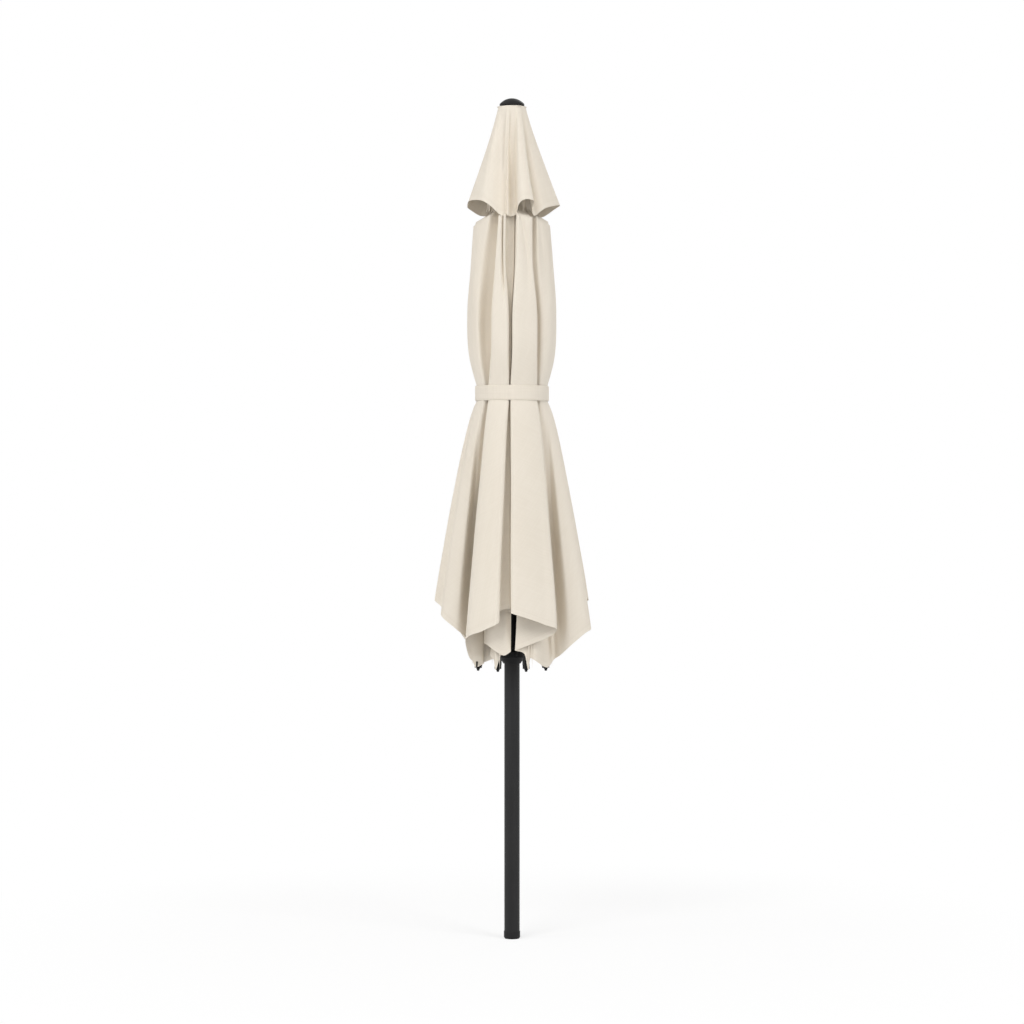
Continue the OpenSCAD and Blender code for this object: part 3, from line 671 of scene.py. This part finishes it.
# ---- Canopy panels ----
# The same canvas where it is drawn tight between two ribs. Closed, each panel is a tape folded flat against
# its rib, shaped so that turning about its spread joint would spread it to the whole gore.
# the tape: how far outside the rib's middle line it starts, and its width
TAPE_OFF, TAPE_W = 16, 11
PANEL_TOP, PANEL_HEM, PANEL_SAG, HEM_HOLLOW = 236, 1362, 7, 10
PANEL_ROWS, PANEL_COLUMNS = 30, 17
# how far each spread joint turns while the canopy opens
PANEL_TURN = math.radians(40.7916)
# The sag is a half wave down the strip. SAG_FROM of it is past at the top edge, and it is over just above the
# hem; SAG_POWER moves its deepest place down.
SAG_FROM, SAG_POWER = 0.15, 1.2
# Where a strip is lifted, its two long edges move sideways so that open strips meet. The power keeps the rest
# of the strip in place.
EDGE_POWER = 7
SPREADS = {j["name"]: j for j in frame["joints"]}


def spread_strip(k, top, hem, lift, sag, hollow, rows, columns):
    """The closed grid of a strip beside rib k that opens to the sector between ribs k and k + 1, and a point
    on each of its long edges. top and hem are distances down the rib, and lift is how far off the panel's
    plane the strip is at both. Once it is open, sag is how far its middle hangs and hollow how far its hem is
    drawn in."""
    hinge, down, out = rib_frame(k)
    joint = SPREADS[f"panel_{k}_spread"]
    axis, pivot = np.array(joint["axis"]), np.array(joint["pos_m"]) / MM
    outward = axis * math.copysign(1, axis @ out)
    sideways = np.cross(axis, down)
    start = hinge + out * TAPE_OFF
    ahead, beside = (start - pivot) @ down, (start - pivot) @ sideways
    lean = math.tan(math.acos(min(1, abs(float(axis @ out)))))

    def turned(length, y, a):
        """Where a point of the closed strip is, in the panel's plane, once it has turned by a."""
        x, y = ahead + length, beside + y
        return np.array([x * math.cos(a) - y * math.sin(a), x * math.sin(a) + y * math.cos(a)])

    def reach_to(length, edge_hollow, y, share):
        """How far down the closed strip a column has to reach for the open edge to be straight or hollow."""
        first, last = turned(length, 0, 0), turned(length, TAPE_W, PANEL_TURN)
        across = (last - first) / np.linalg.norm(last - first)
        inward = np.array([across[1], -across[0]])
        inward = inward if inward @ first < 0 else -inward
        zero, one = turned(0, y, share * PANEL_TURN), turned(1, y, share * PANEL_TURN)
        return ((first - zero) @ inward + edge_hollow * 4 * share * (1 - share)) / ((one - zero) @ inward)

    grid = np.zeros((rows, columns, 3))
    for c, share in enumerate(np.linspace(0, 1, columns)):
        # y is the place across the strip whose smooth step is share: that smooth step undone
        y = TAPE_W * (0.5 - math.sin(math.asin(1 - 2 * share) / 3))
        first, last = reach_to(top, 0, y, share), reach_to(hem, hollow, y, share)
        for r, reach in enumerate(np.linspace(0, 1, rows)):
            length = first + (last - first) * reach
            off = lift[0] + (lift[1] - lift[0]) * reach
            edge = (2 * share - 1) ** EDGE_POWER * off * lean
            wave = math.sin(math.pi * min(1, SAG_FROM + reach) ** SAG_POWER)
            droop = sag * 4 * share * (1 - share) * wave
            grid[r, c] = start + down * length + sideways * (y + edge) + outward * (off - droop)
    return grid, start * MM, (start + sideways * TAPE_W) * MM


for k in RIBS:
    grid, near, far = spread_strip(
        k, PANEL_TOP, PANEL_HEM, lift=(0, 0), sag=PANEL_SAG, hollow=HEM_HOLLOW,
        rows=PANEL_ROWS, columns=PANEL_COLUMNS,
    )
    panel = cloth_piece(f"canopy_panel_{k}", grid, cloth)
    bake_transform(panel)
    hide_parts(f"seam_tape_{k}")


# ---- Vent cap ----
# A small pleated cap of the same canvas, clamped under the finial, that covers the opening at the top of the
# canopy. Closed, it hangs as a bell with a wavy hem; the strips beneath it are built like the panels.
COLLAR_R, COLLAR_Z = 34, 2049.5
# the rows that run in under the finial: distance from the pole's middle and height
RIM = [(20, 2051.6), (30.5, 2051.5), (33.2, 2050.9)]
# The cap flares by this power of the way down, and by more where its hem hangs nearer than PLEAT_R.
VENT_FLARE, PLEAT_IN, PLEAT_R = 1.13, 0.028, 108
# Each line's angle at the collar, half way down and at the hem, then its distance from the pole's middle and
# its height at the hem.
VENT_LINES = [
    (-91, -90, -90, 109.5, 1805), (-82, -76, -71, 109.5, 1816), (-72, -56, -43, 109.5, 1812),
    (-60, -44, -29, 105, 1796), (-46, -33, -20, 94, 1778), (-36, -24, -14, 87, 1774),
    (-28, -16, -10, 85, 1774), (-20, -10, -6, 99, 1774), (-14, -5, -2.5, 81, 1773),
    (0, 2.5, 3.5, 78, 1775), (13, 9, 8.3, 82, 1780), (20, 12, 9.3, 106, 1800),
    (28, 19, 15.5, 117, 1811), (38, 30, 27, 116, 1808), (42, 33.5, 30.2, 97, 1788),
    (50, 41, 38, 90, 1776), (64, 57, 52, 104, 1795), (88, 86, 86, 118, 1808),
    (102, 103, 106, 109, 1801), (118, 121, 127, 97, 1786), (130, 136, 140, 88, 1788),
    (140, 146, 149, 106, 1801), (151, 156, 159, 111, 1806), (163, 167, 170, 107, 1800),
    (170, 174, 176, 88, 1790), (182, 184, 185, 84, 1788), (193, 194, 195, 104, 1800),
    (203, 203, 203, 108, 1803), (213, 212, 211, 102, 1798), (222, 222, 222, 88, 1790),
    (238, 236, 234, 98, 1789), (255, 254, 253, 108, 1801),
]
# the lines between which the cloth belongs to each rib
VENT_ENDS = {
    8: (5, 9), 1: (9, 15), 2: (15, 18), 3: (18, 20), 4: (20, 25), 5: (25, 29), 6: (29, 32), 7: (32, 37),
}
VENT_FIRST = VENT_ENDS[8][0]
VENT_ROWS, VENT_FINE, COLLAR_ROWS = 34, 12, 6
ALL_ROUND = slice(VENT_FIRST * VENT_FINE, (VENT_FIRST + len(VENT_LINES)) * VENT_FINE + 1)
# the open cap's cloth in square metres, and the depths of the cap and of its collar in metres
CAP_AREA, CAP_DROP, COLLAR_DROP = 0.176, 0.255, 0.032
STRIP_TOP, STRIP_HEM, STRIP_LIFT, STRIP_SAG, STRIP_HOLLOW = -6, 246, (-8, 14), 2, 4
STRIP_ROWS, STRIP_COLUMNS = 12, 13


def vent_grid():
    """All of the closed cap as one ring of points, finely divided between its lines."""
    count = len(VENT_LINES)
    lines = np.array(VENT_LINES * 3, float)
    lines[:count, :3] -= 360
    lines[-count:, :3] += 360
    at = count + np.arange((count + VENT_FIRST) * VENT_FINE + 1) / VENT_FINE
    knots = np.arange(len(lines))
    collar, middle = (flow(knots, lines[:, i : i + 1], at)[:, 0] for i in (0, 1))
    hem = flow(knots, polar(lines[:, 2], lines[:, 3]), at)
    hem_z = flow(knots, lines[:, 4:5], at)[:, 0]
    hem_r = np.linalg.norm(hem, axis=1)
    hem_angle = np.degrees(np.arctan2(hem[:, 0], -hem[:, 1]))
    hem_angle += 360 * np.round((middle - hem_angle) / 360)
    flare = VENT_FLARE + PLEAT_IN * np.maximum(0, PLEAT_R - hem_r)
    grid = np.zeros((VENT_ROWS, len(at), 3))
    for i in range(VENT_ROWS):
        t = i / (VENT_ROWS - 1)
        angle = collar * (1 - t) * (1 - 2 * t) + middle * 4 * t * (1 - t) + hem_angle * t * (2 * t - 1)
        grid[i, :, :2] = polar(angle, COLLAR_R + (hem_r - COLLAR_R) * t ** flare)
        grid[i, :, 2] = COLLAR_Z + (hem_z - COLLAR_Z) * t
    rim = grid[: len(RIM)].copy()
    for row, (radius, height) in zip(rim, RIM):
        row[:, :2] *= radius / COLLAR_R
        row[:, 2] = height
    return np.concatenate([rim, grid])


def area_of(grid):
    """The area of a grid of points, in square metres."""
    one, two = grid[1:, 1:] - grid[:-1, :-1], grid[1:, :-1] - grid[:-1, 1:]
    return np.linalg.norm(np.cross(one, two), axis=2).sum() / 2 * MM * MM


# The cap's top stays on the pole, clamped under the finial; the gathers below it turn with the ribs.
whole_cap = ruffle(vent_grid(), size=60, amount=1.2, start=8)
collar = cloth_piece("vent_collar", whole_cap[:COLLAR_ROWS, ALL_ROUND], cloth, "pole")
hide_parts("vent_cap")

cap_gathered = area_of(whole_cap[COLLAR_ROWS - 1 :, ALL_ROUND])
for k, (first, last) in VENT_ENDS.items():
    grid = whole_cap[COLLAR_ROWS - 1 :, first * VENT_FINE : last * VENT_FINE + 1]
    cap = cloth_piece(f"vent_gathers_{k}", grid, cloth, f"rib_{k}")
    lies_flat_when_open(cap, k)
    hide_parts("vent_cap")
    cut = CAP_AREA * area_of(grid) / cap_gathered

    grid, near, far = spread_strip(
        k, STRIP_TOP, STRIP_HEM, lift=STRIP_LIFT, sag=STRIP_SAG, hollow=STRIP_HOLLOW,
        rows=STRIP_ROWS, columns=STRIP_COLUMNS,
    )
    strip = cloth_piece(f"vent_panel_{k}", grid, cloth)
    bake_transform(strip)


# ---- Strap ----
# A flat band of doubled canvas, stitched along both edges, that is drawn round the closed canopy and held by
# its own overlap at the back. It is sewn to the canopy beside one rib and rides on that rib.
BAND_R, BAND_T, BAND_H, BAND_Z = 90.0, 2.0, 37.5, 1344
# its girth in metres, its stitched rows in metres up from its lower edge, and its colours
BAND_ROUND, BAND_STITCHES = 0.575, (0.0045, 0.0345)
BAND_TONE, BAND_DEEP = (0.82, 0.755, 0.655, 1), (0.75, 0.68, 0.575, 1)
# how far its inner face is sunk into the cloth, which thins it by as much, and its steps round the canopy
BAND_SUNK, BAND_STEPS = 0.6, 180
# How the folds press it in and out: how far, how many times round, and with what start in degrees.
BAND_PRESS = [(0.35, 8, 20), (0.25, 3, 0)]
# how far it stands out of level, and with what start in degrees
BAND_TIP, BAND_TIP_START = 0.9, 70
# Its section, from the inside at the bottom round the outside: shares of its thickness and of its height.
BAND_OUTLINE = [
    (0, -0.5), (0.06, -0.5), (1, -0.44), (1.06, -0.36), (1, 0),
    (1.06, 0.36), (1, 0.44), (0.06, 0.5), (0, 0.5),
]


def strap_band():
    """The band as a grid, pressed in a little between the folds and not quite level."""
    angle = np.linspace(0, 360, BAND_STEPS + 1)
    press = sum(far * np.cos(np.radians(angle * times + start)) for far, times, start in BAND_PRESS)
    middle = BAND_Z + BAND_TIP * np.sin(np.radians(angle + BAND_TIP_START))
    rows = []
    for share, rise in BAND_OUTLINE:
        plan = polar(angle + 180, BAND_R - BAND_SUNK + share * (BAND_T - BAND_SUNK) + press)
        rows.append(np.concatenate([plan, (middle + rise * BAND_H)[:, None]], axis=1))
    return np.array(rows)[::-1]


webbing = canvas("strap_canvas", rows=BAND_STITCHES, tone=BAND_TONE, deep=BAND_DEEP)
band = cloth_piece("strap_band", strap_band(), webbing, "rib_5")
lies_flat_when_open(band, 5)
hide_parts("strap")
